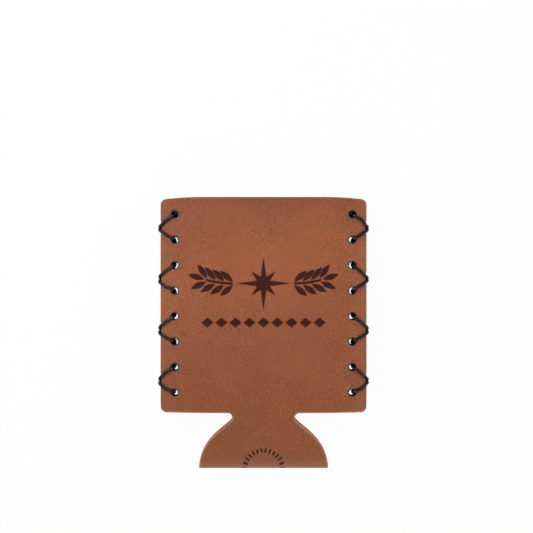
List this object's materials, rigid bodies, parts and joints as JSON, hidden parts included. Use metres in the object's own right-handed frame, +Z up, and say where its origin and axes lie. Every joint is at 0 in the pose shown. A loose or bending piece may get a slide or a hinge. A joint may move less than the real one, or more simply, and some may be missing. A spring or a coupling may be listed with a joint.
{
  "type": "leather bottle sleeve",
  "caption": "Folded leather sleeve for a long-neck bottle, cross-laced with round cord along both sides, with an hourglass base and an open mouth.",
  "frame": {"origin": "middle of the footprint, on the surface that the sleeve lies on", "axes": "+X across the sleeve, +Y from the fold to the mouth, +Z up through both panels"},
  "size_m": [0.1034, 0.1324, 0.0136],
  "materials": {
    "brown_leather": "oiled full-grain leather with raw cut edges",
    "black_cord": "waxed braided cord"
  },
  "bodies": {
    "root": {"leather_sleeve": "brown_leather", "left_lace": "black_cord", "right_lace": "black_cord"}
  },
  "joints": []
}
